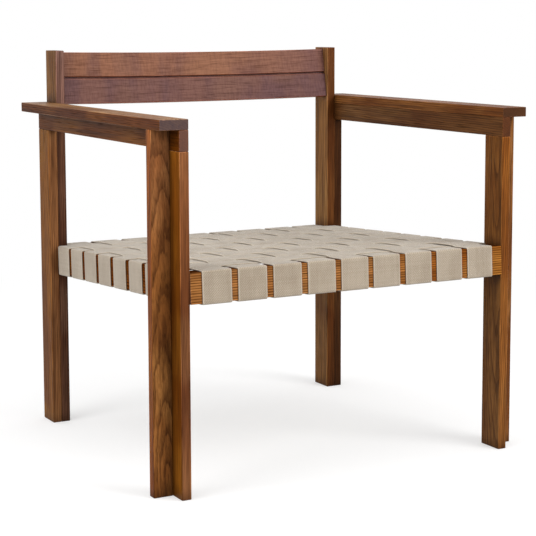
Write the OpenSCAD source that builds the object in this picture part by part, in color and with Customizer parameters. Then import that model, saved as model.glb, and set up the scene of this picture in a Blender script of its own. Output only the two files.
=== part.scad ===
// Low wooden armchair: a frame of flat boards in parallel planes, a seat of woven webbing
// and a back rest of two leaning slats. Each side has four planes of board, counted inwards:
// the front board of the front leg, then the arm rail above the leg's side board and the
// board beside the back post, then the back post with the seat frame's side rail.
// Lengths are millimetres. X runs across the chair, Y towards its back and Z up.

/* [Boards] */
// Thickness of every board but the front and back seat rails
board_t = 16; // [12:1:20]
// Width of a front leg's side board, seen from the side
leg_board_w = 48; // [36:1:60]
// Width of a front leg's front board, seen from the front
front_board_w = 32; // [24:1:44]
// Width of a back post and of the board beside it, seen from the side
post_w = 48; // [44:1:64]
// Height of the rail under each armrest
arm_rail_h = 32; // [28:1:48]
// Height of the four rails of the seat frame
seat_rail_h = 48; // [40:1:64]
// Thickness of the seat frame's front and back rails
cross_rail_t = 32; // [16:1:34]
// Chamfer along the long edges of every board
edge_ease = 1.2; // [0.4:0.1:2]

/* [Heights] */
// Height of the seat frame's top edge at the front
seat_h = 348; // [280:1:420]
// Height of the armrests' top above the seat frame's front edge
arm_rise = 230; // [180:1:300]
// Height of the back posts above the armrests' top
back_rise = 92; // [60:1:160]

/* [Seat frame] */
// Slope of the seat down towards the back, in degrees
seat_tilt = 3; // [0:0.5:6]
// How far the front rail's top edge stands in front of the legs
front_rail_proud = 0.5; // [0:0.5:4]
// How far the back rail's top edge stays in front of the posts' rear faces
back_rail_inset = 3; // [2.5:0.5:8]

/* [Back rest] */
// Lean of the slats, in degrees
back_lean = 10; // [0:1:12]
// Width of each slat
slat_w = 44; // [36:1:54]
// Gap between the two slats
slat_gap = 4; // [2:0.5:10]
// Distance from the posts' tops down to the upper slat
slat_drop = 3; // [0:0.5:20]
// How far the lower slat's bottom edge stays behind the posts' front faces
slat_setback = 3.5; // [0:0.5:6]
// Thickness of the lower slat's tongue, which closes the gap between the slats
tongue_t = 6; // [4:0.5:7]
// Depth of the tongue in the upper slat's groove
tongue_in = 4; // [3:0.5:5]
// Clearance round the tongue in its groove
tongue_clear = 0.2; // [0.1:0.1:0.4]

/* [Webbing] */
// Number of straps that run from front to back
long_straps = 9; // [7:1:11]
// Number of straps that run from side to side
cross_straps = 8; // [6:1:10]
// Width of a strap
web_w = 50; // [40:1:60]
// Thickness of a strap
web_t = 1.8; // [1.2:0.1:2.4]
// Gap between neighbouring straps that run from front to back
long_gap = 11; // [6:0.5:20]
// Gap between neighbouring straps that run from side to side
cross_gap = 12; // [6:0.5:20]
// Gap between the outermost long straps and the back posts
long_end_gap = 3; // [3:0.5:10]
// Gap between the outermost cross straps and the legs
cross_end_gap = 1; // [0.5:0.5:10]
// How far a strap's end runs up the inner face of its rail
web_tuck = 28; // [20:1:36]
// Clearance between a strap and what it lies on
web_lay = 0.2; // [0.1:0.1:0.4]
// How far a strap runs flat past both edges of each strap that it crosses
weave_flat = 1; // [0.5:0.5:2]

/* [Dowels] */
// Diameter of a dowel
dowel_d = 6; // [5:0.5:7]
// Depth of a dowel in the board that it enters through a face
dowel_in_face = 10; // [8:0.5:11]
// Depth of a dowel in the board that it enters through an end or an edge
dowel_in_end = 20; // [14:1:20]
// Depth of a short dowel in each of the two boards that it pins face to face
dowel_in_pair = 12; // [8:0.5:12]
// Clearance round a dowel in its bore
dowel_clear = 0.1; // [0.05:0.05:0.2]
// Room for glue at each end of a dowel
dowel_end_gap = 0.5; // [0.2:0.1:1]

/* [Tacks] */
// Number of tacks in each strap end
tacks_per_end = 2; // [1:1:3]
// Distance between the tacks of one strap end
tack_pitch = 24; // [14:1:24]
// Distance from a strap's end to its tacks
tack_from_end = 9; // [6:1:14]
// Diameter of a tack's head
tack_head_d = 8; // [5:0.5:9]
// Thickness of a tack's head
tack_head_t = 0.8; // [0.5:0.1:1.5]
// Diameter of a tack's shank
tack_shank_d = 1.6; // [1:0.1:2.4]
// Depth of a tack in the wood
tack_in_wood = 8; // [5:0.5:10]
// Clearance round a tack's shank
tack_clear = 0.1; // [0.05:0.05:0.2]

/* [Hidden] */
// Widths, from the middle of the chair to the right
seat_w = long_straps * web_w + (long_straps - 1) * long_gap + 2 * long_end_gap;
post_in = seat_w / 2;
post_out = post_in + board_t;
rail_out = post_out + board_t;
arm_out = rail_out + front_board_w;
arm_mid_x = post_out + board_t / 2;

// The straps' thickness with its clearance, as they stand out from the wood and in the weave
web_stand = web_lay + web_t;
web_mid = web_lay + web_t / 2;
web_rise = (web_t + web_lay) / 2;

// Depths, from the front of the legs to the back
cross_run = cross_straps * web_w + (cross_straps - 1) * cross_gap;
rail_lean_y = (seat_rail_h + 2 * web_stand) * sin(seat_tilt);
side_clear = cross_run * cos(seat_tilt) + rail_lean_y + 2 * cross_end_gap;
post_front = leg_board_w + side_clear;
chair_d = post_front + post_w;
seat_len = (chair_d - back_rail_inset + front_rail_proud) / cos(seat_tilt);
front_reach = front_rail_proud + seat_rail_h * sin(seat_tilt) + web_stand;
mid_y = (chair_d - front_reach) / 2;

// Heights, from the floor
arm_h = seat_h + arm_rise;
arm_under = arm_h - board_t;
rail_under = arm_under - arm_rail_h;
chair_h = arm_h + back_rise;
slats_h = 2 * slat_w + slat_gap;
slats_z = chair_h - slat_drop - slats_h * cos(back_lean);

// Places of the straps across their rails, each given by its lower edge
long_x = [for (i = [0 : long_straps - 1]) long_end_gap - post_in + i * (web_w + long_gap)];
cross_first = (leg_board_w + front_rail_proud + cross_end_gap + rail_lean_y) / cos(seat_tilt);
cross_y = [for (j = [0 : cross_straps - 1]) cross_first + j * (web_w + cross_gap)];
cross_span = 2 * post_out;

// Places of the dowels that share a rail's end without meeting
rail_dowels_out = [seat_rail_h / 6, seat_rail_h * 5 / 6];
rail_dowels_in = [seat_rail_h * 3 / 8, seat_rail_h * 5 / 8];
quarters = [1 / 4, 3 / 4];
thirds = [1 / 6, 3 / 6, 5 / 6];
eighths = [1 / 8, 3 / 8, 5 / 8, 7 / 8];
pair_heights = [1 / 8, 4 / 8, 7 / 8];
no_room = [0, 0];
bore_room = [dowel_clear, dowel_end_gap];
cut = 1;

wood = [0.42, 0.26, 0.16];
rail_wood = [0.62, 0.38, 0.18];
slat_wood = [0.48, 0.31, 0.27];
dowel_wood = [0.80, 0.66, 0.45];
canvas = [0.74, 0.70, 0.62];
steel = [0.55, 0.55, 0.56];
round_fn = 32;

side_nodes = ["leg_side_board", "leg_front_board", "arm_rail", "armrest", "back_post",
              "back_leg_board", "seat_side_rail"];

// Frames of reference

module seat_frame() {
    translate([0, -front_rail_proud, seat_h]) rotate([-seat_tilt, 0, 0]) children();
}

module back_frame() {
    translate([0, post_front + slat_setback, slats_z]) rotate([-back_lean, 0, 0]) children();
}

module on_side(side) {
    if (side == "left") mirror([1, 0, 0]) children();
    else children();
}

module both_sides() {
    children();
    mirror([1, 0, 0]) children();
}

// Boards, with their long edges eased

module eased(a, b) {
    e = edge_ease;
    polygon([[e, 0], [a - e, 0], [a, e], [a, b - e], [a - e, b], [e, b], [0, b - e], [0, e]]);
}

module board_along_x(size) {
    rotate([90, 0, 90]) linear_extrude(size.x) eased(size.y, size.z);
}

module board_along_y(size) {
    translate([0, size.y, 0]) rotate([90, 0, 0]) linear_extrude(size.y) eased(size.x, size.z);
}

module board_along_z(size) {
    linear_extrude(size.z) eased(size.x, size.y);
}

// Dowels. Each peg's joint is at its own z = 0: the board entered by its face lies below it
// and the board entered by its end lies above it.

module peg(below, above, room) {
    translate([0, 0, -below - room[1]])
        cylinder(d = dowel_d + 2 * room[0], h = below + above + 2 * room[1], $fn = round_fn);
}

module joint_peg(room) {
    peg(dowel_in_face, dowel_in_end, room);
}

module inwards(x, y, z) {
    translate([x, y, z]) rotate([0, -90, 0]) children();
}

module outwards(x, y, z) {
    translate([x, y, z]) rotate([0, 90, 0]) children();
}

module downwards(x, y, z) {
    translate([x, y, z]) rotate([180, 0, 0]) children();
}

module seat_dowels(room) {
    seat_frame() {
        for (z = rail_dowels_out) {
            inwards(post_out, cross_rail_t / 2, -z) joint_peg(room);
            inwards(post_in, seat_len - cross_rail_t / 2, -z) joint_peg(room);
        }
        for (z = rail_dowels_in)
            translate([post_in + board_t / 2, cross_rail_t, -z])
                rotate([-90, 0, 0]) joint_peg(room);
    }
    rail_end_z = seat_h - (post_front + front_rail_proud) * tan(seat_tilt);
    for (z = rail_dowels_in)
        translate([post_in + board_t / 2, post_front, rail_end_z - z])
            rotate([90, 0, 0]) joint_peg(room);
}

module slat_dowels(room) {
    back_frame() for (row = [0, 1]) for (q = quarters)
        inwards(post_in, board_t / 2, row * (slat_w + slat_gap) + q * slat_w) joint_peg(room);
}

module leg_dowels(room) {
    for (q = eighths)
        outwards(rail_out, leg_board_w - board_t / 2, q * rail_under) joint_peg(room);
    for (q = quarters) {
        downwards(arm_mid_x, q * leg_board_w, rail_under) joint_peg(room);
        downwards(arm_mid_x, chair_d - q * post_w, rail_under) joint_peg(room);
    }
}

module arm_dowels(room) {
    for (q = thirds) downwards(arm_mid_x, q * chair_d, arm_under) joint_peg(room);
    for (q = quarters)
        downwards(rail_out + q * front_board_w, leg_board_w - board_t / 2, arm_under)
            joint_peg(room);
}

module side_dowels(room) {
    seat_dowels(room);
    slat_dowels(room);
    leg_dowels(room);
    arm_dowels(room);
}

module side_short_dowels(room) {
    heights = concat([for (q = pair_heights) q * rail_under], [rail_under + arm_rail_h / 2]);
    for (z = heights)
        outwards(post_out, chair_d - post_w / 2, z) peg(dowel_in_pair, dowel_in_pair, room);
}

module side_bores() {
    side_dowels(bore_room);
    side_short_dowels(bore_room);
}

// Boards of one side, as they stand on the right

module leg_side_board() {
    color(wood) difference() {
        translate([post_out, 0, 0]) board_along_z([board_t, leg_board_w, rail_under]);
        side_bores();
    }
}

module leg_front_board() {
    color(wood) difference() {
        translate([rail_out, leg_board_w - board_t, 0])
            board_along_z([front_board_w, board_t, arm_under]);
        side_bores();
    }
}

module arm_rail() {
    color(wood) difference() {
        translate([post_out, 0, rail_under]) board_along_y([board_t, chair_d, arm_rail_h]);
        side_bores();
    }
}

module armrest() {
    color(wood) difference() {
        translate([post_out, 0, arm_under])
            board_along_y([board_t + front_board_w, chair_d, board_t]);
        side_bores();
    }
}

module back_post() {
    color(wood) difference() {
        translate([post_in, post_front, 0]) board_along_z([board_t, post_w, chair_h]);
        side_bores();
    }
}

module back_leg_board() {
    color(wood) difference() {
        translate([post_out, post_front, 0]) board_along_z([board_t, post_w, rail_under]);
        side_bores();
    }
}

module seat_side_rail() {
    color(rail_wood) difference() {
        seat_frame() translate([post_in, cross_rail_t, -seat_rail_h])
            board_along_y([board_t, seat_len, seat_rail_h]);
        translate([post_in - cut, post_front, 0]) cube([board_t + 2 * cut, chair_d, chair_h]);
        side_bores();
        seat_frame() cross_tacks(tack_clear);
    }
}

// Boards that run across the chair

module front_seat_rail() {
    color(rail_wood) difference() {
        seat_frame() translate([-post_out, 0, -seat_rail_h])
            board_along_x([2 * post_out, cross_rail_t, seat_rail_h]);
        both_sides() side_bores();
        seat_frame() long_tacks(tack_clear);
    }
}

module back_seat_rail() {
    color(rail_wood) difference() {
        seat_frame() translate([-post_in, seat_len - cross_rail_t, -seat_rail_h])
            board_along_x([seat_w, cross_rail_t, seat_rail_h]);
        both_sides() side_bores();
        seat_frame() long_tacks(tack_clear);
    }
}

module slat(row) {
    color(slat_wood) difference() {
        back_frame() translate([-post_in, 0, row * (slat_w + slat_gap)])
            rotate([90, 0, 90]) linear_extrude(seat_w) children();
        both_sides() slat_dowels(bore_room);
    }
}

module lower_back_slat() {
    slat(0) {
        eased(board_t, slat_w);
        translate([(board_t - tongue_t) / 2, slat_w / 2])
            square([tongue_t, slat_w / 2 + slat_gap + tongue_in]);
    }
}

module upper_back_slat() {
    slat(1) difference() {
        eased(board_t, slat_w);
        translate([(board_t - tongue_t) / 2 - tongue_clear, -cut])
            square([tongue_t + 2 * tongue_clear, cut + tongue_in + tongue_clear]);
    }
}

// Straps. A path runs along the middle of a strap's thickness: up from its first end on the
// inner face of a rail, round the rail, through the weave, and round the opposite rail.

function unit(v) = v / norm(v);
function left_of(v) = [-v.y, v.x];
function side_at(path, i) =
    let (last = len(path) - 1,
         before = unit(path[max(i, 1)] - path[max(i, 1) - 1]),
         after = unit(path[min(i, last - 1) + 1] - path[min(i, last - 1)]),
         both = left_of(before) + left_of(after))
    2 * both / (both * both);
function ribbon(path, t) = concat(
    [for (i = [0 : len(path) - 1]) path[i] + side_at(path, i) * t / 2],
    [for (i = [len(path) - 1 : -1 : 0]) path[i] - side_at(path, i) * t / 2]);

function turn(corner, from) =
    [for (a = [from : -30 : from - 90]) corner + web_mid * [cos(a), sin(a)]];
function hook(rail_t) = concat(
    [[rail_t + web_mid, web_tuck - seat_rail_h]],
    turn([rail_t, -seat_rail_h], 0),
    turn([0, -seat_rail_h], -90),
    turn([0, 0], 180),
    [[rail_t, web_mid]]);
function mirrored(path, span) =
    [for (i = [len(path) - 1 : -1 : 0]) [span - path[i].x, path[i].y]];
function crossing(edge, over) =
    let (z = web_mid + (over ? web_rise : -web_rise))
    [[edge - weave_flat, z], [edge + web_w + weave_flat, z]];
function long_over(i, j) = (i + j) % 2 == 0;
function long_path(i) = concat(
    hook(cross_rail_t),
    [for (j = [0 : cross_straps - 1]) each crossing(cross_y[j], long_over(i, j))],
    mirrored(hook(cross_rail_t), seat_len));
function cross_path(j) = concat(
    hook(board_t),
    [for (i = [0 : long_straps - 1]) each crossing(long_x[i] + post_out, !long_over(i, j))],
    mirrored(hook(board_t), cross_span));

module long_strap(i) {
    color(canvas) difference() {
        seat_frame() translate([long_x[i], 0, 0])
            rotate([90, 0, 90]) linear_extrude(web_w) polygon(ribbon(long_path(i), web_t));
        seat_frame() long_tacks(tack_clear);
    }
}

module cross_strap(j) {
    color(canvas) difference() {
        seat_frame() translate([-post_out, cross_y[j] + web_w, 0])
            rotate([90, 0, 0]) linear_extrude(web_w) polygon(ribbon(cross_path(j), web_t));
        both_sides() seat_frame() cross_tacks(tack_clear);
    }
}

// Tacks, each with its head's underside at z = 0 and its shank pointing down

module tack(clear) {
    if (clear == 0) cylinder(d = tack_head_d, h = tack_head_t, $fn = round_fn);
    translate([0, 0, -web_stand - tack_in_wood - clear])
        cylinder(d = tack_shank_d + 2 * clear, h = web_stand + tack_in_wood + clear, $fn = round_fn);
}

tack_z = web_tuck - seat_rail_h - tack_from_end;
tack_places = [for (k = [0 : tacks_per_end - 1])
    web_w / 2 + (k - (tacks_per_end - 1) / 2) * tack_pitch];

module long_tacks(clear) {
    for (x = long_x) for (place = tack_places) {
        translate([x + place, cross_rail_t + web_stand, tack_z])
            rotate([-90, 0, 0]) tack(clear);
        translate([x + place, seat_len - cross_rail_t - web_stand, tack_z])
            rotate([90, 0, 0]) tack(clear);
    }
}

module cross_tacks(clear) {
    for (y = cross_y) for (place = tack_places)
        inwards(post_in - web_stand, y + place, tack_z) tack(clear);
}

module webbing_tacks() {
    color(steel) seat_frame() {
        long_tacks(0);
        both_sides() cross_tacks(0);
    }
}

module long_dowels() {
    color(dowel_wood) both_sides() side_dowels(no_room);
}

module short_dowels() {
    color(dowel_wood) both_sides() side_short_dowels(no_room);
}

translate([0, -mid_y, 0]) {
    for (side = ["left", "right"]) on_side(side) {
        leg_side_board();
        leg_front_board();
        arm_rail();
        armrest();
        back_post();
        back_leg_board();
        seat_side_rail();
    }
    front_seat_rail();
    back_seat_rail();
    lower_back_slat();
    upper_back_slat();
    for (i = [1 : long_straps])
        long_strap(i - 1);
    for (j = [1 : cross_straps])
        cross_strap(j - 1);
    long_dowels();
    short_dowels();
    webbing_tacks();
}
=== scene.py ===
"""Looks of the low wooden armchair: stained and lacquered boards, and a woven webbing seat.

Lengths are metres. The frame's axes are X to the right, Y to the back and Z up, with the
middle of the chair's footprint at the origin.
"""
import math
import random

import bmesh
import bpy
from mathutils import Matrix, Vector

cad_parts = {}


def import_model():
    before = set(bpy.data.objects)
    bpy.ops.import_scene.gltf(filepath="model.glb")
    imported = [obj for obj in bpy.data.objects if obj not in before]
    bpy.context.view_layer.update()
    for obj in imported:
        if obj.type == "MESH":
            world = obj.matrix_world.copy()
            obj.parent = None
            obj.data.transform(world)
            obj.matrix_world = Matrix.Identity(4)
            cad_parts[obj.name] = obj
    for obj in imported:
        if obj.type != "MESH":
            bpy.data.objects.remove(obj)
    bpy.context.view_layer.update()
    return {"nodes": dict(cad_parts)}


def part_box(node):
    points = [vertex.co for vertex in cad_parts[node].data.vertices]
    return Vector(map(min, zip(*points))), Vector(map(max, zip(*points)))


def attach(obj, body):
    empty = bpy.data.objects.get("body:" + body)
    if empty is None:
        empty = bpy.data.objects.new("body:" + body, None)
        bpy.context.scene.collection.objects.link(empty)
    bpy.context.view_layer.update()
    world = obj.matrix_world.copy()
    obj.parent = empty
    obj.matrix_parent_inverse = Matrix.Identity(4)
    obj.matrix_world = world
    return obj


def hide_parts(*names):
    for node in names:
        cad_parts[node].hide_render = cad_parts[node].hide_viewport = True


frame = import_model()

MM = 0.001

# The seat and the back rest lean. These sizes are the ones that the construction uses.
SEAT_TILT = math.radians(3)
SEAT_HEIGHT = 348 * MM
SEAT_RAIL_H = 48 * MM
FRONT_RAIL_PROUD = 0.5 * MM
BACK_RAIL_INSET = 3 * MM
BACK_LEAN = math.radians(10)
SLAT_W = 44 * MM
SLAT_GAP = 4 * MM
SLAT_DROP = 3 * MM
SLAT_SETBACK = 3.5 * MM
CROSS_RAIL_T = 32 * MM
TONGUE_T = 6 * MM
TONGUE_IN = 4 * MM
TONGUE_CLEAR = 0.2 * MM

LONG_STRAPS = 9
CROSS_STRAPS = 8
WEB_W = 50 * MM
WEB_T = 1.8 * MM
WEB_LAY = 0.2 * MM
WEB_TUCK = 28 * MM
LONG_PITCH = 61 * MM
CROSS_PITCH = 62 * MM

post_low, post_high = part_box("right_back_post")
BOARD_T = post_high.x - post_low.x
POST_IN = post_low.x
POST_OUT = post_high.x
POST_FRONT = post_low.y
CHAIR_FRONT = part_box("right_leg_side_board")[0].y
CHAIR_BACK = post_high.y
CHAIR_TOP = post_high.z

# The leaning frames: the seat's starts at the top of the front rail's face, and the back
# rest's at the foot of the lower slat's face.
SEAT_LEN = (CHAIR_BACK - CHAIR_FRONT - BACK_RAIL_INSET + FRONT_RAIL_PROUD) / math.cos(SEAT_TILT)
SEAT = (Matrix.Translation((0, CHAIR_FRONT - FRONT_RAIL_PROUD, SEAT_HEIGHT))
        @ Matrix.Rotation(-SEAT_TILT, 4, "X"))
SLATS_FOOT = CHAIR_TOP - SLAT_DROP - (2 * SLAT_W + SLAT_GAP) * math.cos(BACK_LEAN)
BACK = (Matrix.Translation((0, POST_FRONT + SLAT_SETBACK, SLATS_FOOT))
        @ Matrix.Rotation(-BACK_LEAN, 4, "X"))


# Node trees

class Graph:
    """A short way to write a node tree: each call adds one node and returns its output."""

    def __init__(self, tree):
        self.tree = tree

    def add(self, kind, inputs=None, out=0, **settings):
        node = self.tree.nodes.new(kind)
        for key, value in settings.items():
            setattr(node, key, value)
        for key, value in (inputs or {}).items():
            if isinstance(value, bpy.types.NodeSocket):
                self.tree.links.new(value, node.inputs[key])
            else:
                node.inputs[key].default_value = value
        return node.outputs[out]

    def attribute(self, name, out="Vector"):
        return self.add("ShaderNodeAttribute", out=out, attribute_name=name)

    def math(self, operation, a, b=0.0, c=0.5, clamp=False):
        return self.add("ShaderNodeMath", {0: a, 1: b, 2: c}, operation=operation,
                        use_clamp=clamp)

    def scaled(self, vector, factors):
        return self.add("ShaderNodeVectorMath", {0: vector, 1: factors}, operation="MULTIPLY")

    def split(self, vector):
        node = self.tree.nodes.new("ShaderNodeSeparateXYZ")
        self.tree.links.new(vector, node.inputs[0])
        return node.outputs[0], node.outputs[1], node.outputs[2]

    def noise(self, vector, detail=2.0, roughness=0.5):
        return self.add("ShaderNodeTexNoise", {"Vector": vector, "Scale": 1.0, "Detail": detail,
                                               "Roughness": roughness})

    def between(self, value, low, high, start=0.0, end=1.0):
        """start at low and end at high, held beyond them, with a smooth run between."""
        return self.add("ShaderNodeMapRange", {"Value": value, "From Min": low, "From Max": high,
                                               "To Min": start, "To Max": end},
                        interpolation_type="SMOOTHSTEP")

    def mixed(self, factor, a, b, blend="MIX"):
        return self.add("ShaderNodeMix", {0: factor, 6: a, 7: b}, out=2, data_type="RGBA",
                        blend_type=blend)

    def curve(self, value, stops):
        """A grey ramp through (place, grey) stops."""
        node = self.tree.nodes.new("ShaderNodeValToRGB")
        self.tree.links.new(value, node.inputs[0])
        ramp = node.color_ramp
        while len(ramp.elements) < len(stops):
            ramp.elements.new(0.5)
        for element, (place, grey) in zip(ramp.elements, stops):
            element.position = place
            element.color = (grey, grey, grey, 1)
        return node.outputs[0]

    def bump(self, height, distance, strength=1.0):
        return self.add("ShaderNodeBump", {"Height": height, "Distance": distance,
                                           "Strength": strength})


def srgb(r, g, b):
    """A colour as 0 to 255 screen values, for a shader socket."""
    def linear(value):
        value /= 255
        return value / 12.92 if value <= 0.04045 else ((value + 0.055) / 1.055) ** 2.4
    return linear(r), linear(g), linear(b), 1.0


def new_material(name):
    """(material, its graph, its Principled shader node)."""
    material = bpy.data.materials.new(name)
    material.use_nodes = True
    shader = next(n for n in material.node_tree.nodes if n.type == "BSDF_PRINCIPLED")
    return material, Graph(material.node_tree), shader


def added(name, data):
    """A new object in the scene."""
    made = bpy.data.objects.new(name, data)
    bpy.context.scene.collection.objects.link(made)
    return made


ATTRIBUTE_FIELDS = {"FLOAT": "value", "FLOAT_VECTOR": "vector", "FLOAT_COLOR": "color"}


def write(mesh, name, kind, domain, values):
    """Gives a mesh's points or faces an attribute."""
    mesh.attributes.new(name, kind, domain).data.foreach_set(ATTRIBUTE_FIELDS[kind], values)


def feed(graph, shader, **links):
    """Links outputs to a shader's inputs, named with _ for a space."""
    for name, output in links.items():
        graph.tree.links.new(output, shader.inputs[name.replace("_", " ")])


# How finely the wood's noises repeat in the log, for each metre along X, Y and Z. Z is along the
# log, so a small last number draws a mark out along the grain.
WANDER = (24, 24, 7)
RIPPLE = (130, 130, 22)
VESSELS = (850, 850, 24)
FIBRES = (330, 330, 9)
STREAKS = (90, 90, 1.8)
SHADES = (9, 9, 7.5)
CURLS = (70, 70, 330)
HIGHLIGHT_AND_WEAR_PATCHES = (160, 160, 12)
# How dark the pores' line is through one ring, as (place, grey)
RING = ((0.0, 0.15), (0.06, 1.0), (0.20, 0.72), (0.45, 0.22), (0.75, 0.05), (1.0, 0.15))
END_GRAIN = srgb(86, 64, 60)
# How much paler the rounded edges are painted: worn polish together with a painted highlight
EDGE_HIGHLIGHT_AND_WEAR_TINT = (2.3, 2.5, 2.8, 1.0)
# How far the painted shade reaches out of the corners between boards
CORNER_SHADE_REACH = 30 * MM


def darkened(colour, share):
    return [share * value for value in colour[:3]] + [1.0]


def wood_material(name, ground, line, warm, pale, fleck=0.4, streaks=0.55, clouds=(15, 15, 5),
                  curl=0.0, gloss=0.05, corners=0.6):
    """Ring-porous timber, stained and lacquered. The grain attribute is a place in the log, in
    metres, with the log's heart along Z. The figure attribute holds the rings for each metre,
    how strongly they show and how far the log's shape wanders, in rings. The face-tone and fade
    attributes multiply the colour: the face tones are the wood's colour with painted light, shade
    and reflection that differ from face to face. The edge attribute says how pale an edge is
    painted, worn polish with a painted highlight.

    ground is the colour between the rings' dark lines, and warm and pale are the colours of
    broad patches, which repeat as clouds says. fleck, streaks and curl say how strongly the
    fibres, the dark streaks and the marks across the grain show, gloss how much the lacquer
    shines, and corners how dark the painted shade is in the corners between boards."""
    material, g, shader = new_material(name)
    grain = g.attribute("grain")
    stain_and_face_light = g.attribute("stain_and_face_light", "Color")
    end_grain = g.attribute("end_grain", "Fac")
    edge = g.attribute("edge", "Fac")
    per_metre, strength, wander = g.split(g.attribute("figure"))

    drift = g.noise(g.scaled(grain, WANDER), 1.5)
    ripple = g.noise(g.scaled(grain, RIPPLE), 2.0)
    reach = g.add("ShaderNodeVectorMath", {0: g.scaled(grain, (1, 1, 0))}, out=1,
                  operation="LENGTH")
    rings = g.math("MULTIPLY", reach, per_metre)
    rings = g.math("ADD", rings, g.math("MULTIPLY", drift, wander))
    rings = g.math("ADD", rings, g.math("MULTIPLY", ripple, g.math("MULTIPLY", wander, 0.27)))
    porous = g.curve(g.math("FRACT", rings), RING)
    year = g.noise(g.add("ShaderNodeCombineXYZ", {0: g.math("FLOOR", rings)}), 0.0)
    porous = g.math("MULTIPLY", porous, g.between(year, 0.3, 0.7, 0.5, 1.15))
    porous = g.math("MULTIPLY", porous, strength)

    vessel = g.between(g.noise(g.scaled(grain, VESSELS), 1.0), 0.50, 0.68)
    fibre = g.noise(g.scaled(grain, FIBRES), 2.5, 0.6)
    streak = g.noise(g.scaled(grain, STREAKS), 2.0)
    cloud = g.noise(g.scaled(grain, clouds), 2.0)
    shade = g.noise(g.scaled(grain, SHADES), 1.5)

    colour = g.mixed(g.between(cloud, 0.38, 0.62), ground, warm)
    colour = g.mixed(g.between(shade, 0.50, 0.66, 0.0, 0.8), colour, pale)
    colour = g.mixed(g.math("MULTIPLY", porous, 0.85), colour, line)
    colour = g.mixed(g.between(streak, 0.50, 0.68, 0.0, streaks), colour, line)
    colour = g.mixed(g.between(fibre, 0.40, 0.66, 0.0, fleck), colour, line)
    curls = g.noise(g.scaled(grain, CURLS), 2.0)
    colour = g.mixed(g.between(curls, 0.45, 0.62, 0.0, curl), colour, line)
    colour = g.mixed(g.between(curls, 0.50, 0.36, 0.0, curl), colour, pale)
    pit = g.math("MULTIPLY", vessel, g.math("MULTIPLY_ADD", porous, 0.8, 0.5), clamp=True)
    colour = g.mixed(g.math("MULTIPLY", pit, 0.6), colour, darkened(line, 0.45))
    colour = g.mixed(g.math("MULTIPLY", end_grain, 0.75), colour, END_GRAIN)
    # The face tones multiply the colour: the wood's colour with painted light, shade and
    # reflection that differ from face to face
    colour = g.mixed(1.0, colour, stain_and_face_light, "MULTIPLY")
    colour = g.mixed(1.0, colour, g.attribute("fade", "Color"), "MULTIPLY")
    # Painted highlight with wear: the rounded edges turn paler and bluer in patches
    highlight_and_wear_patches = g.noise(g.scaled(grain, HIGHLIGHT_AND_WEAR_PATCHES), 2.0)
    highlight_and_wear = g.math("MULTIPLY", edge, g.between(highlight_and_wear_patches, 0.38, 0.62, 0.0, 0.6))
    colour = g.mixed(highlight_and_wear, colour, g.mixed(1.0, colour, EDGE_HIGHLIGHT_AND_WEAR_TINT, "MULTIPLY"))
    # Painted shade: the colour darkens towards the line colour in the corners between boards and
    # under the armrests, as far as a point is closed in
    openness = g.add("ShaderNodeAmbientOcclusion", {"Distance": CORNER_SHADE_REACH}, out=1, samples=8)
    colour = g.mixed(g.between(openness, 0.95, 0.4, 0.0, corners), colour, darkened(line, 0.3))

    matt = g.math("MULTIPLY_ADD", pit, 0.25, 0.40)
    relief = g.math("MULTIPLY", pit, -1.0)
    relief = g.math("ADD", relief, g.math("MULTIPLY", porous, -0.2))
    relief = g.math("ADD", relief, g.math("MULTIPLY", fibre, 0.25))
    feed(g, shader, Base_Color=colour, Roughness=matt, Normal=g.bump(relief, 0.0002, 0.7))
    shader.inputs["Specular IOR Level"].default_value = gloss
    return material


# How far the painted shade reaches out of the corners between straps
CROSSING_SHADE_REACH = 8 * MM
YARN = 1.0 * MM
# The twill repeats after this many yarns
TWILL = 4.0
# Where the paler border of a strap starts and is whole, as distances from its middle: a paler
# selvedge with a painted highlight on the rounded rim
SELVEDGE_AND_HIGHLIGHT = (22.6 * MM, 23.2 * MM)


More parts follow.
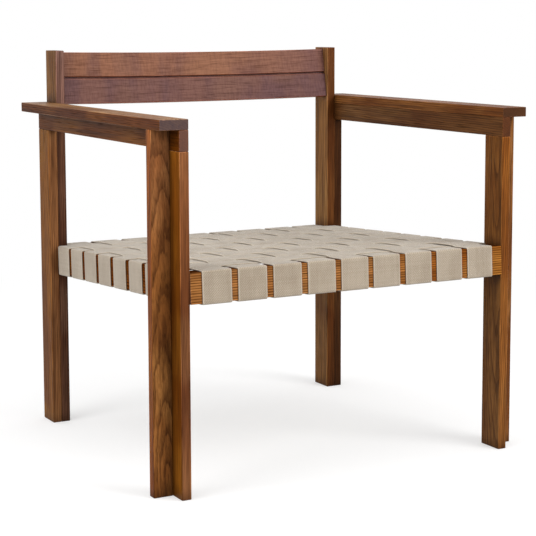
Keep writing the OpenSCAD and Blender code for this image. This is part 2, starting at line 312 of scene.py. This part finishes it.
def webbing_material(name):
    """Twilled canvas webbing. The cloth attribute holds the place across the strap from its
    middle and along it from its end, in metres, and then a number of the strap's own."""
    material, g, shader = new_material(name)
    across, along, own = g.split(g.attribute("cloth"))
    a = g.math("MULTIPLY", across, 1 / YARN)
    b = g.math("MULTIPLY", along, 1 / YARN)
    column = g.math("FLOOR", a)
    row = g.math("FLOOR", b)
    step = g.math("FLOORED_MODULO", g.math("SUBTRACT", column, row), TWILL)
    warp_up = g.math("LESS_THAN", step, 1.5)
    ridge = g.math("FLOORED_MODULO", g.math("SUBTRACT", a, b), TWILL)
    furrow = g.math("ABSOLUTE", g.math("SUBTRACT", ridge, TWILL / 2))
    furrow = g.between(furrow, TWILL / 4, TWILL / 2)

    def rounded(value):
        """1 along a yarn's middle, and 0 at its sides."""
        centred = g.math("SUBTRACT", g.math("FRACT", value), 0.5)
        square = g.math("MULTIPLY", centred, centred)
        return g.math("SUBTRACT", 1.0, g.math("MULTIPLY", square, 4.0))

    def yarn_tone(count):
        """A tone of each yarn's own."""
        return g.add("ShaderNodeTexWhiteNoise", {"Vector": g.add(
            "ShaderNodeCombineXYZ", {0: count, 1: own})}, noise_dimensions="2D")

    def cloth_noise(per_metre_across, per_metre_along, detail=2.0):
        return g.noise(g.add("ShaderNodeCombineXYZ", {
            0: g.math("MULTIPLY", across, per_metre_across),
            1: g.math("MULTIPLY", along, per_metre_along), 2: own}), detail)

    warp = g.math("MULTIPLY", rounded(a), warp_up)
    weft = g.math("MULTIPLY", rounded(b), g.math("SUBTRACT", 1.0, warp_up))
    weave = g.math("ADD", warp, g.math("MULTIPLY", weft, 0.75))
    tone = g.mixed(warp_up, yarn_tone(row), yarn_tone(column))
    slub = cloth_noise(700, 90)
    haze = cloth_noise(30, 14)

    colour = g.mixed(tone, srgb(174, 155, 132), srgb(205, 189, 168))
    colour = g.mixed(g.between(slub, 0.35, 0.7, 0.0, 0.5), colour, srgb(194, 179, 158))
    colour = g.mixed(g.between(haze, 0.36, 0.64, 0.0, 0.3), colour, srgb(166, 149, 128))
    colour = g.mixed(g.between(haze, 0.62, 0.40, 0.0, 0.2), colour, srgb(208, 194, 174))
    # Painted shade between the yarns and along the twill's furrows
    colour = g.mixed(g.between(weave, 0.0, 0.6, 0.4, 0.0), colour, srgb(118, 100, 80))
    colour = g.mixed(g.math("MULTIPLY", furrow, 0.46), colour, srgb(110, 92, 72))
    # The selvedge is paler, with a painted highlight where the rim turns to the light
    selvedge_and_highlight = g.between(g.math("ABSOLUTE", across), *SELVEDGE_AND_HIGHLIGHT)
    colour = g.mixed(g.math("MULTIPLY", selvedge_and_highlight, 0.5), colour, srgb(214, 200, 180))

    # Painted shade: the cloth darkens where the straps cross and pass under one another
    openness = g.add("ShaderNodeAmbientOcclusion", {"Distance": CROSSING_SHADE_REACH}, out=1, samples=8)
    colour = g.mixed(g.between(openness, 0.95, 0.45, 0.0, 0.22), colour, srgb(104, 88, 70))

    fuzz = cloth_noise(2200, 2200, 1.0)
    height = g.math("ADD", weave, g.math("MULTIPLY", fuzz, 0.35))
    height = g.math("SUBTRACT", height, g.math("MULTIPLY", furrow, 0.8))
    feed(g, shader, Base_Color=colour, Normal=g.bump(height, 0.0003, 0.9))
    shader.inputs["Roughness"].default_value = 0.92
    shader.inputs["Specular IOR Level"].default_value = 0.25
    shader.inputs["Sheen Weight"].default_value = 0.35
    shader.inputs["Sheen Roughness"].default_value = 0.5
    shader.inputs["Sheen Tint"].default_value = (0.85, 0.94, 1.0, 1)
    return material


def steel_material(name):
    """Brushed steel with faint tarnish."""
    material, g, shader = new_material(name)
    place = g.add("ShaderNodeTexCoord", out="Object")
    brushed = g.noise(g.scaled(place, (300, 2400, 300)), 2.0)
    tarnish = g.noise(g.scaled(place, (160, 160, 160)), 2.0)
    colour = g.mixed(g.between(tarnish, 0.4, 0.7, 0.0, 0.7), srgb(186, 186, 188),
                     srgb(126, 118, 108))
    matt = g.between(brushed, 0.2, 0.8, 0.28, 0.5)
    feed(g, shader, Base_Color=colour, Roughness=matt, Normal=g.bump(brushed, 0.00005, 0.5))
    shader.inputs["Metallic"].default_value = 1.0
    return material


def dowel_material(name):
    """Plain unstained beech, seen only when the chair is apart."""
    material, g, shader = new_material(name)
    place = g.add("ShaderNodeTexCoord", out="Object")
    flecks = g.noise(g.scaled(place, (900, 900, 900)), 3.0)
    bands = g.noise(g.scaled(place, (130, 130, 130)), 2.0)
    colour = g.mixed(g.between(bands, 0.3, 0.7), srgb(205, 170, 122), srgb(186, 146, 98))
    colour = g.mixed(g.between(flecks, 0.5, 0.7, 0.0, 0.5), colour, srgb(150, 110, 72))
    feed(g, shader, Base_Color=colour, Normal=g.bump(flecks, 0.0001, 0.5))
    shader.inputs["Roughness"].default_value = 0.6
    return material


# Boards

# The radius of a board's rounded edges, and the number of faces round one
EASE = 1.2 * MM
EASE_STEPS = 3
# The number of straight lengths in a bowed board
BOW_STEPS = 32
# How pale the edges of most boards are painted: worn polish with a painted highlight
EDGE_HIGHLIGHT_AND_WEAR = 0.6


def box_solid(low, high):
    """(points, faces) of a box."""
    points = [Vector((x, y, z)) for x in (low[0], high[0]) for y in (low[1], high[1])
              for z in (low[2], high[2])]
    return points, ((0, 1, 3, 2), (4, 6, 7, 5), (0, 4, 5, 1), (2, 3, 7, 6), (0, 2, 6, 4),
                    (1, 5, 7, 3))


def moulding_solid(profile, start, end):
    """(points, faces) of a length of moulding along X, with its (y, z) profile."""
    count = len(profile)
    points = [Vector((x, y, z)) for x in (start, end) for y, z in profile]
    sides = [(k, (k + 1) % count, (k + 1) % count + count, k + count) for k in range(count)]
    return points, sides + [tuple(range(count))[::-1], tuple(range(count, 2 * count))]


def faded(stops, share):
    """The colour at a share of a board's length, from (share, colour) stops."""
    for (a, start), (b, end) in zip(stops, stops[1:]):
        if share <= b:
            break
    part = min((share - a) / (b - a), 1.0)
    return [p + (q - p) * part for p, q in zip(start, end)]


def board(name, solid, look, material, place=Matrix.Identity(4), bow=0.0):
    """A sawn board with rounded edges that replaces its CAD node. look gives: where the log's
    heart passes (its distance across and through the board, how many degrees it rises and
    sweeps along it, and a start along it), the figure, and the tones of the faces, the edges
    and the ends: the wood's colour with painted light, shade and reflection in it that differ
    from face to face. bow is how far the middle of a board along X bends to +Y."""
    cut, figure, *stains_and_face_light = look
    points, faces = solid
    low, high = (Vector(pick(p[k] for p in points) for k in range(3)) for pick in (min, max))
    size = high - low
    through, across, along = (Vector(int(k == m) for k in range(3)) for m in
                              sorted(range(3), key=lambda m: size[m]))

    made = bmesh.new()
    verts = [made.verts.new(p) for p in points]
    for face in faces:
        made.faces.new([verts[k] for k in face])
    bmesh.ops.recalc_face_normals(made, faces=made.faces)
    rounded = bmesh.ops.bevel(made, geom=list(made.edges), offset=EASE, offset_type="OFFSET",
                              segments=EASE_STEPS, profile=0.5, affect="EDGES")
    for face in rounded["faces"]:
        face.smooth = True
    stops = FADES.get(name, EVEN)
    cuts = [share for share, _ in stops[1:-1]]
    if bow:
        cuts += [k / BOW_STEPS for k in range(1, BOW_STEPS)]
    for share in cuts:
        bmesh.ops.bisect_plane(made, geom=made.verts[:] + made.edges[:] + made.faces[:],
                               plane_co=low + along * size.dot(along) * share, plane_no=along)
    mesh = bpy.data.meshes.new(name)
    made.to_mesh(mesh)
    made.free()

    across_off, through_off, rise, sweep, start = cut
    log = (Matrix.Translation((across_off, through_off, start))
           @ Matrix.Rotation(math.radians(rise), 4, "X")
           @ Matrix.Rotation(math.radians(sweep), 4, "Y")
           @ Matrix((across, through, along)).to_4x4() @ Matrix.Translation(-(low + high) / 2))
    grain, fade, stain_and_face_light, ends, edges = [], [], [], [], []
    for vert in mesh.vertices:
        grain += list(log @ vert.co)
        fade += faded(stops, (vert.co - low).dot(along) / size.dot(along)) + [1.0]
    # Each face takes a blend of the tones for the directions it turns to: painted light and shade
    # by a face's direction, on the wood's colour
    for face in mesh.polygons:
        shares = [face.normal.dot(axis) ** 2 for axis in (through, across, along)]
        stain_and_face_light += [sum(share * c for share, c in zip(shares, colours))
                  for colours in zip(*stains_and_face_light)] + [1.0]
        ends.append(face.normal.dot(along) ** 4)
        edges.append(HIGHLIT_AND_WORN_EDGES.get(name, EDGE_HIGHLIGHT_AND_WEAR) if face.use_smooth else 0.0)
    write(mesh, "grain", "FLOAT_VECTOR", "POINT", grain)
    write(mesh, "figure", "FLOAT_VECTOR", "POINT", list(figure) * len(mesh.vertices))
    write(mesh, "fade", "FLOAT_COLOR", "POINT", fade)
    write(mesh, "stain_and_face_light", "FLOAT_COLOR", "FACE", stain_and_face_light)
    write(mesh, "end_grain", "FLOAT", "FACE", ends)
    write(mesh, "edge", "FLOAT", "FACE", edges)
    if bow:
        for vert in mesh.vertices:
            vert.co.y += bow * (1 - (vert.co.x / high.x) ** 2)
    mesh.transform(place)
    mesh.materials.append(material)

    piece = added(name + "_finished", mesh)
    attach(piece, "root")
    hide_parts(name)


frame_wood = wood_material("stained_frame_wood", ground=srgb(140, 86, 44), line=srgb(66, 34, 14),
                           warm=srgb(118, 66, 30), pale=srgb(154, 100, 54))
rail_wood = wood_material("stained_rail_wood", ground=srgb(196, 128, 62), line=srgb(84, 42, 14),
                          warm=srgb(182, 108, 44), pale=srgb(206, 148, 82), fleck=0.3,
                          streaks=0.35, gloss=0.0)
# The slats' purple-brown colours hold a painted reflection: the pale sheen of the lacquer on the
# leaning faces
slat_wood = wood_material("stained_slat_wood", ground=srgb(144, 96, 78), line=srgb(92, 54, 44),
                          warm=srgb(126, 86, 78), pale=srgb(150, 102, 80), fleck=0.22,
                          streaks=0.08, clouds=(6, 6, 20), curl=0.2, corners=0.2)

# Boards whose edges are painted paler or less pale than the others: worn polish with a painted
# highlight
HIGHLIT_AND_WORN_EDGES = {"left_leg_side_board": 1.4, "left_leg_front_board": 0.25, "right_leg_side_board": 1.2,
        "right_back_post": 1.4}
# Boards whose colour is lighter or darker along them, as (share of the length, colour) stops
# from their left, front or lower end. The others are even.
EVEN = ((0, (1, 1, 1)), (1, (1, 1, 1)))
FADES = {
    "left_leg_side_board": ((0, (0.92, 0.89, 0.98)), (0.35, (0.76, 0.71, 0.80)),
                            (0.6, (0.84, 0.80, 0.86)), (0.8, (1.28, 1.34, 1.50)),
                            (1, (1.68, 1.88, 2.30))),
    "left_leg_front_board": ((0, (0.98, 1.03, 0.98)), (0.6, (1.13, 1.18, 1.12)),
                             (1, (1.52, 1.70, 2.30))),
    "left_armrest": ((0, (1.18, 1.18, 1.20)), (1, (0.86, 0.86, 0.86))),
    "left_back_post": ((0, (0.46, 0.39, 0.28)), (0.84, (0.46, 0.39, 0.28)), (0.86, (1, 1, 1)),
                       (1, (1, 1, 1))),
    "right_leg_side_board": ((0, (1.14, 1.27, 1.75)), (1, (1.05, 1.00, 0.90))),
    "right_back_post": ((0, (0.95, 0.97, 1.00)), (0.84, (1.00, 1.03, 1.10)),
                        (0.86, (1.10, 1.15, 1.50)), (1, (1.10, 1.15, 1.50))),
    "front_seat_rail": ((0, (0.95, 0.98, 1.25)), (0.14, (1.12, 1.20, 1.65)),
                        (0.6, (1.03, 1.04, 1.25)), (1, (0.91, 0.76, 0.50))),
    "upper_back_slat": ((0, (1.00, 1.00, 0.98)), (0.6, (0.96, 0.96, 1.00)),
                        (1, (0.73, 0.76, 1.04))),
}

# The look of each board of the frame, as board() takes it. Its face tones hold painted light,
# shade and reflection besides the wood's colour.
STRAIGHT = (300, 1.0, 1.6)
FRAME_LOOKS = {
    "left_leg_side_board": ((0.060, 0.075, 0.6, 0.5, 0.1), (400, 0.55, 1.6),
                            (0.96, 0.90, 0.28), (1.18, 1.28, 1.55), (1.00, 1.00, 1.00)),
    "left_leg_front_board": ((-0.004, 0.035, -5.5, 0.9, 21.91), (150, 1.05, 2.4),
                             (1.62, 1.74, 1.75), (1.05, 0.80, 0.42), (1.00, 1.00, 1.00)),
    "left_arm_rail": ((0.090, 0.050, 0.4, 0.6, 1.3), (300, 0.6, 1.6),
                      (0.64, 0.53, 0.104), (0.60, 0.60, 0.60), (1.40, 1.35, 1.25)),
    "left_armrest": ((0.050, 0.090, 0.8, 0.5, 1.9), STRAIGHT,
                     (1.28, 1.75, 2.60), (0.50, 0.37, 0.055), (0.82, 1.05, 1.30)),
    "left_back_post": ((0.020, 0.060, 1.5, 0.8, 2.4), STRAIGHT,
                       (0.85, 1.00, 0.95), (1.33, 1.94, 5.40), (0.80, 0.80, 0.80)),
    "left_back_leg_board": ((0.030, 0.045, 1.2, -0.9, 3.1), STRAIGHT,
                            (1.00, 0.96, 0.24), (1.31, 1.56, 2.10), (0.80, 0.80, 0.80)),
    "right_leg_side_board": ((0.015, 0.040, 2.5, -1.2, 3.7), (260, 0.9, 1.6),
                             (0.83, 0.92, 0.72), (1.19, 1.12, 0.69), (1.00, 1.00, 1.00)),
    "right_leg_front_board": ((0.010, 0.030, 2.0, -1.2, 4.2), (200, 0.8, 2.2),
                              (1.26, 1.36, 1.37), (1.00, 1.00, 1.00), (1.00, 1.00, 1.00)),
    "right_arm_rail": ((0.085, 0.055, 0.5, -0.5, 4.9), STRAIGHT,
                       (0.60, 0.68, 0.72), (0.55, 0.55, 0.55), (0.92, 0.64, 0.31)),
    "right_armrest": ((0.070, 0.080, 0.7, 0.6, 5.4), STRAIGHT,
                      (1.00, 1.05, 1.15), (0.97, 1.04, 0.95), (0.72, 0.58, 0.31)),
    "right_back_post": ((0.040, 0.070, 1.1, 0.7, 6.1), STRAIGHT,
                        (1.25, 1.55, 1.55), (0.62, 0.54, 0.43), (0.70, 0.70, 0.70)),
    "right_back_leg_board": ((0.030, 0.060, 1.4, -0.7, 6.8), STRAIGHT,
                             (0.70, 0.70, 0.70), (0.35, 0.35, 0.36), (0.70, 0.70, 0.70)),
}


def frame_boards():
    for name, look in FRAME_LOOKS.items():
        board(name, box_solid(*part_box(name)), look, frame_wood)


def seat_rails():
    """The front rail runs over the side rails' ends, and the back rail between the posts."""
    # The rails' tops and bottoms, and the side rails' ends, take a dark tone: painted shade where
    # the straps shade the rails' tops
    figure, plain, dark = (357, 1.5, 0.35), (1.0, 1.05, 1.05), (0.28, 0.22, 0.20)
    front = box_solid((-POST_OUT, 0, -SEAT_RAIL_H), (POST_OUT, CROSS_RAIL_T, 0))
    board("front_seat_rail", front, ((0.11, 0.12, 0.4, 0.5, 7.4), figure, plain, dark, plain),
          rail_wood, SEAT)
    back = box_solid((-POST_IN, SEAT_LEN - CROSS_RAIL_T, -SEAT_RAIL_H), (POST_IN, SEAT_LEN, 0))
    board("back_seat_rail", back, ((0.10, 0.11, 0.5, 0.4, 8.1), figure, plain, dark, plain),
          rail_wood, SEAT)
    for name, side, start in (("left", -1, 8.8), ("right", 1, 9.5)):
        inner, outer = sorted((side * POST_IN, side * POST_OUT))
        points, faces = box_solid((inner, CROSS_RAIL_T, -SEAT_RAIL_H), (outer, SEAT_LEN, 0))
        # Cut its back end off along the post's upright face
        for k in (2, 3, 6, 7):
            a, b = SEAT @ points[k - 2], SEAT @ points[k]
            points[k] = points[k - 2].lerp(points[k], (POST_FRONT - a.y) / (b.y - a.y))
        look = (0.09, 0.12, 0.4, -0.5, start), figure, (0.40, 0.31, 0.24), dark, dark
        board(name + "_seat_side_rail", (points, faces), look, rail_wood, SEAT)


# The slats' long edges are painted lighter and more orange than their faces: painted light in the
# shaded groove between the slats, and a painted highlight on its arris
SLAT_EDGES_LIT = (1.35, 0.78, 0.28)
# How far the middle of the back rest curves back from the sitter
SLAT_BOW = 17 * MM


def back_slats():
    """Two slats: a tongue on the lower one stands in a groove in the upper one."""
    near = (BOARD_T - TONGUE_T) / 2
    far = near + TONGUE_T
    lower = [(0, 0), (BOARD_T, 0), (BOARD_T, SLAT_W), (far, SLAT_W),
             (far, SLAT_W + SLAT_GAP + TONGUE_IN), (near, SLAT_W + SLAT_GAP + TONGUE_IN),
             (near, SLAT_W), (0, SLAT_W)]
    foot = SLAT_W + SLAT_GAP
    deep = foot + TONGUE_IN + TONGUE_CLEAR
    upper = [(0, foot), (near - TONGUE_CLEAR, foot), (near - TONGUE_CLEAR, deep),
             (far + TONGUE_CLEAR, deep), (far + TONGUE_CLEAR, foot), (BOARD_T, foot),
             (BOARD_T, foot + SLAT_W), (0, foot + SLAT_W)]
    looks = {"lower": (lower, (0.030, 0.100, 1.6, 0.5, 10.3), (200, 0.3, 1.5),
                       (0.76, 0.86, 1.05)),
             "upper": (upper, (0.015, 0.045, 1.1, -0.8, 12.3), (260, 0.4, 2.0),
                       (1.13, 1.18, 1.06))}
    for name, (profile, heart, figure, stain_and_face_light) in looks.items():
        board(name + "_back_slat", moulding_solid(profile, -POST_IN, POST_IN),
              (heart, figure, stain_and_face_light, SLAT_EDGES_LIT, stain_and_face_light), slat_wood, BACK,
              SLAT_BOW)


# Webbing. A strap's path lies in a plane: its first number runs along the seat from the outer
# face of one rail, and its second stands up from the rails' top.

WEB_MID = WEB_LAY + WEB_T / 2
# How high the straps rise over a crossing: at its start and at its middle, with their slope at
# its start. The cross straps are the tighter ones.
LONG_RISE = (1.5 * MM, 1.8 * MM, 0.05)
CROSS_RISE = (0.5 * MM, 0.65 * MM, 0.015)
# How high a strap is on its way from a rail to a crossing that it passes over or under, and how
# far from the rail. The cross straps run straight.
LONG_STARTS = {1: 1.1 * MM, -1: -0.4 * MM}
WEB_START = 9 * MM
# How much lower the front cross strap lies where its ends pass under the outermost long straps
FRONT_SAG = 0.9 * MM
# The straight lengths round a rail's corner, and the longest step between a path's points
TURN_STEPS = 6
RUN_STEP = 4 * MM
# The faces across a strap, and round each of its rims
FLAT_STEPS = 12
RIM_STEPS = 6
# The least and the most that a strap sways aside in each of its slow waves, in millimetres
SWAY = (0.1, 0.45)
# The straps' own numbers start here. They set how each strap sways, and how it differs in tone.
LONG_OWN = 1
CROSS_OWN = 21
# How far apart the tones' noises are, from one number to the next
OWN_STEP = 1.7


def turn(rail_t, corner, start):
    """A quarter turn round a rail's corner, which starts at an angle in degrees."""
    reach = EASE + WEB_MID
    sign = Vector((math.copysign(1, rail_t / 2 - corner[0]),
                   math.copysign(1, -SEAT_RAIL_H / 2 - corner[1])))
    middle = Vector(corner) + sign * EASE
    return [middle + reach * Vector((math.cos(a), math.sin(a))) for a in
            (math.radians(start - 90 * k / TURN_STEPS) for k in range(TURN_STEPS + 1))]


def filled(path):
    """The same path with points no further apart than RUN_STEP."""
    out = [path[0]]
    for a, b in zip(path, path[1:]):
        count = max(1, math.ceil((b - a).length / RUN_STEP))
        out += [a.lerp(b, k / count) for k in range(1, count + 1)]
    return out


def hook(rail_t):
    """From a strap's end on a rail's inner face, round the rail, to the rail's top."""
    path = [Vector((rail_t + WEB_MID, WEB_TUCK - SEAT_RAIL_H))]
    path += turn(rail_t, (rail_t, -SEAT_RAIL_H), 0)
    path += turn(rail_t, (0, -SEAT_RAIL_H), -90)
    path += turn(rail_t, (0, 0), 180)
    path += [Vector((rail_t - EASE, WEB_MID))]
    return filled(path)


def hermite(x, a, b):
    """A cubic between two (place, height, slope) knots."""
    run = b[0] - a[0]
    t = (x - a[0]) / run
    return ((1 + 2 * t) * (1 - t) ** 2 * a[1] + t * (1 - t) ** 2 * run * a[2]
            + t * t * (3 - 2 * t) * b[1] + t * t * (t - 1) * run * b[2])


def weave_knots(rail_t, centres, signs, sags, span, rise, starts):
    """(place, height, slope) of a strap's middle over the rails' top, from rail to rail."""
    half = WEB_W / 2
    edge, crown, slope = rise
    knots = [(rail_t, WEB_MID, 0.0), (span - rail_t, WEB_MID, 0.0)]
    for centre, sign, sag in zip(centres, signs, sags):
        knots += [(centre - half, WEB_MID - sag + sign * edge, sign * slope),
                  (centre, WEB_MID - sag + sign * crown, 0.0),
                  (centre + half, WEB_MID - sag + sign * edge, -sign * slope)]
    if starts:
        knots += [(rail_t + WEB_START, WEB_MID + starts[signs[0]], 0.0),
                  (span - rail_t - WEB_START, WEB_MID + starts[signs[-1]], 0.0)]
    return sorted(knots)


def weave_height(place, knots):
    """The height of a strap's middle over the rails' top, at a place along it."""
    for a, b in zip(knots, knots[1:]):
        if place <= b[0]:
            return hermite(max(place, a[0]), a, b)
    return WEB_MID


def strap_path(rail_t, centres, signs, sags, span, rise, starts=None):
    """The whole path of a strap that passes over crossings with sign 1, under those with -1."""
    knots = weave_knots(rail_t, centres, signs, sags, span, rise, starts)
    start = hook(rail_t)
    end = [Vector((span - p.x, p.y)) for p in reversed(start)]
    count = math.ceil((span - 2 * rail_t) / RUN_STEP)
    run = [rail_t + (span - 2 * rail_t) * k / count for k in range(count + 1)]
    return start + [Vector((x, weave_height(x, knots))) for x in run] + end


def strap_section():
    """A strap's cross-section: (place across, height) once round."""
    half, rim = WEB_W / 2, WEB_T / 2
    flat = half - rim
    columns = [-flat + 2 * flat * k / FLAT_STEPS for k in range(FLAT_STEPS + 1)]
    angles = [math.radians(180 * k / RIM_STEPS) for k in range(1, RIM_STEPS)]
    top = [(x, rim) for x in columns]
    right = [(flat + rim * math.sin(a), rim * math.cos(a)) for a in angles]
    bottom = [(x, -rim) for x in reversed(columns)]
    left = [(-flat - rim * math.sin(a), -rim * math.cos(a)) for a in angles]
    return top + right + bottom + left


def strap(name, path, place, own):
    """A strap swept along its path. place turns (along, across, up) into a point of the frame,
    and own is a number of the strap's own."""
    rng = random.Random(own)
    section = strap_section()
    sway = [(rng.uniform(*SWAY) * MM, rng.uniform(0, math.tau), k + 1) for k in range(3)]
    lengths = [0.0]
    for a, b in zip(path, path[1:]):
        lengths.append(lengths[-1] + (b - a).length)
    total = lengths[-1]
    verts, cloth = [], []
    for k, point in enumerate(path):
        ahead, behind = path[min(k + 1, len(path) - 1)], path[max(k - 1, 0)]
        tangent = (ahead - behind).normalized()
        normal = Vector((-tangent.y, tangent.x))
        share = lengths[k] / total
        aside = sum(size * math.sin(phase + turns * math.pi * share)
                    for size, phase, turns in sway)
        for across, up in section:
            at = point + normal * up
            verts.append(place(at.x, across + aside, at.y))
            cloth += [across, lengths[k], own * OWN_STEP]
    ring = len(section)
    faces = [(k * ring + m, k * ring + (m + 1) % ring, (k + 1) * ring + (m + 1) % ring,
              (k + 1) * ring + m) for k in range(len(path) - 1) for m in range(ring)]
    faces += [tuple(range(ring))[::-1], tuple((len(path) - 1) * ring + m for m in range(ring))]
    mesh = bpy.data.meshes.new(name)
    mesh.from_pydata(verts, [], faces)
    made = bmesh.new()
    made.from_mesh(mesh)
    bmesh.ops.recalc_face_normals(made, faces=made.faces)
    made.to_mesh(mesh)
    made.free()
    write(mesh, "cloth", "FLOAT_VECTOR", "POINT", cloth)
    mesh.polygons.foreach_set("use_smooth", [True] * len(mesh.polygons))
    mesh.materials.append(webbing)
    piece = added(name + "_woven", mesh)
    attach(piece, "root")
    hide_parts(name)


webbing = webbing_material("canvas_webbing")

# How far each strap lies from its even place, in millimetres: a long one to the right, and a
# cross one to the back
LONG_SHIFTS = (0, 0, 0.2, 0, 0, -1.2, -1.5, -1.7, -1.5)
CROSS_SHIFTS = (-8.0, -5.0, -2.6, 0.4, 1.5, 1.0, 0.8, 0.4)


def straps():
    long_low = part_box("long_strap_1")[0]
    first_x = long_low.x + WEB_W / 2
    long_centres = [first_x + i * LONG_PITCH + LONG_SHIFTS[i] * MM for i in range(LONG_STRAPS)]
    cross_low = SEAT.inverted() @ Vector((0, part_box("cross_strap_1")[1].y, SEAT_HEIGHT))
    first_y = cross_low.y - WEB_W / 2
    cross_centres = [first_y + j * CROSS_PITCH + CROSS_SHIFTS[j] * MM
                     for j in range(CROSS_STRAPS)]
    span = 2 * POST_OUT
    for i, x in enumerate(long_centres):
        signs = [1 if (i + j) % 2 == 0 else -1 for j in range(CROSS_STRAPS)]
        path = strap_path(CROSS_RAIL_T, cross_centres, signs, [0] * CROSS_STRAPS, SEAT_LEN,
                          LONG_RISE, LONG_STARTS)
        strap(f"long_strap_{i + 1}", path,
              lambda along, across, up, x=x: SEAT @ Vector((x + across, along, up)),
              LONG_OWN + i)
    for j, y in enumerate(cross_centres):
        signs = [-1 if (i + j) % 2 == 0 else 1 for i in range(LONG_STRAPS)]
        sag = FRONT_SAG if j == 0 else 0
        sags = [sag] + [0] * (LONG_STRAPS - 2) + [sag]
        path = strap_path(BOARD_T, [x + POST_OUT for x in long_centres], signs, sags, span,
                          CROSS_RISE)
        strap(f"cross_strap_{j + 1}", path,
              lambda along, across, up, y=y: SEAT @ Vector((along - POST_OUT, y + across, up)),
              CROSS_OWN + j)


def plain_nodes():
    """The fasteners keep their CAD shapes."""
    for name, material in (("long_dowels", dowel_material("beech_long_dowels")),
                           ("short_dowels", dowel_material("beech_short_dowels")),
                           ("webbing_tacks", steel_material("tack_steel"))):
        node = frame["nodes"][name]
        node.data.materials.clear()
        node.data.materials.append(material)


# Studio

# The camera: millimetres, its place, and its azimuth, elevation and roll in degrees
SENSOR = 36
LENS = 105.737
SHIFT_Y = -0.12
CAMERA_PLACE = (-1.3013, -2.3808, 0.7222)
CAMERA_ANGLES = (-28.733, 6.642, -0.155)
# The lamps: place, aim, size and power
LAMPS = {
    "key": ((1.6, -2.6, 2.2), (0, 0, 0.35), (1.8, 1.8), 64),
    "top": ((-0.2, 0.1, 2.6), (0, 0, 0.3), (2.2, 2.2), 15),
    "fill": ((-3.0, -0.6, 1.5), (0, 0, 0.35), (1.8, 1.8), 42),
}
# How strong the white world is as light; as a background it is 1
AMBIENT = 0.67
# The floor: half its side, how far it lies under the feet, its grey, how much it glows where it
# is seen, and how far from the chair it starts to turn white and is white
FLOOR_REACH = 40
FLOOR_DROP = 0.2 * MM
FLOOR_GREY = 0.55
FLOOR_GLOW = 0.5
FLOOR_FADE = (0.7, 1.8)


def camera():
    made = bpy.data.cameras.new("camera")
    made.sensor_width = SENSOR
    made.lens = LENS
    made.shift_y = SHIFT_Y
    eye = added("camera", made)
    azimuth, elevation, roll = (math.radians(x) for x in CAMERA_ANGLES)
    back = Vector((math.sin(azimuth) * math.cos(elevation),
                   -math.cos(azimuth) * math.cos(elevation), math.sin(elevation)))
    eye.matrix_world = (Matrix.Translation(CAMERA_PLACE)
                        @ back.to_track_quat("Z", "Y").to_matrix().to_4x4()
                        @ Matrix.Rotation(roll, 4, "Z"))
    bpy.context.scene.camera = eye


def softbox(name, place, aim, size, power):
    made = bpy.data.lights.new(name, "AREA")
    made.shape = "RECTANGLE"
    made.size, made.size_y = size
    made.energy = power
    lamp = added(name, made)
    lamp.location = place
    lamp.rotation_euler = (Vector(aim) - Vector(place)).to_track_quat("-Z", "Y").to_euler()


def seen_directly(g):
    """1 for the rays that show a background: from the camera, and in gloss and glass."""
    paths = g.tree.nodes.new("ShaderNodeLightPath")
    seen = g.math("MAXIMUM", paths.outputs["Is Camera Ray"], paths.outputs["Is Glossy Ray"])
    return g.math("MAXIMUM", seen, paths.outputs["Is Transmission Ray"])


def world():
    made = bpy.data.worlds.new("studio")
    bpy.context.scene.world = made
    made.use_nodes = True
    g = Graph(made.node_tree)
    strength = g.math("MULTIPLY_ADD", seen_directly(g), 1.0 - AMBIENT, AMBIENT)
    backdrop = next(n for n in made.node_tree.nodes if n.type == "BACKGROUND")
    backdrop.inputs["Color"].default_value = (1, 1, 1, 1)
    made.node_tree.links.new(strength, backdrop.inputs["Strength"])


def floor():
    mesh = bpy.data.meshes.new("floor")
    corners = [(x * FLOOR_REACH, y * FLOOR_REACH, 0)
               for x, y in ((-1, -1), (1, -1), (1, 1), (-1, 1))]
    mesh.from_pydata(corners, [], [(0, 1, 2, 3)])
    made = added("floor", mesh)
    made.location.z = -FLOOR_DROP
    material, g, shader = new_material("pale_floor")
    shader.inputs["Base Color"].default_value = (FLOOR_GREY, FLOOR_GREY, FLOOR_GREY, 1)
    shader.inputs["Roughness"].default_value = 1.0
    shader.inputs["Specular IOR Level"].default_value = 0.0
    shader.inputs["Emission Color"].default_value = (1, 1, 1, 1)
    feed(g, shader, Emission_Strength=g.math("MULTIPLY", seen_directly(g), FLOOR_GLOW))
    place = g.add("ShaderNodeNewGeometry", out="Position")
    away = g.add("ShaderNodeVectorMath", {0: place}, out=1, operation="LENGTH")
    white = g.add("ShaderNodeEmission", {"Color": (1, 1, 1, 1), "Strength": 1.0})
    merged = g.tree.nodes.new("ShaderNodeMixShader")
    surface = next(n for n in g.tree.nodes if n.type == "OUTPUT_MATERIAL")
    fade = g.math("MULTIPLY", g.between(away, *FLOOR_FADE), seen_directly(g))
    g.tree.links.new(fade, merged.inputs[0])
    g.tree.links.new(shader.outputs[0], merged.inputs[1])
    g.tree.links.new(white, merged.inputs[2])
    g.tree.links.new(merged.outputs[0], surface.inputs["Surface"])
    mesh.materials.append(material)


def studio():
    world()
    floor()
    for name, lamp in LAMPS.items():
        softbox(name, *lamp)
    bpy.context.scene.view_settings.view_transform = "Standard"


camera()
frame_boards()
seat_rails()
back_slats()
straps()
plain_nodes()
studio()
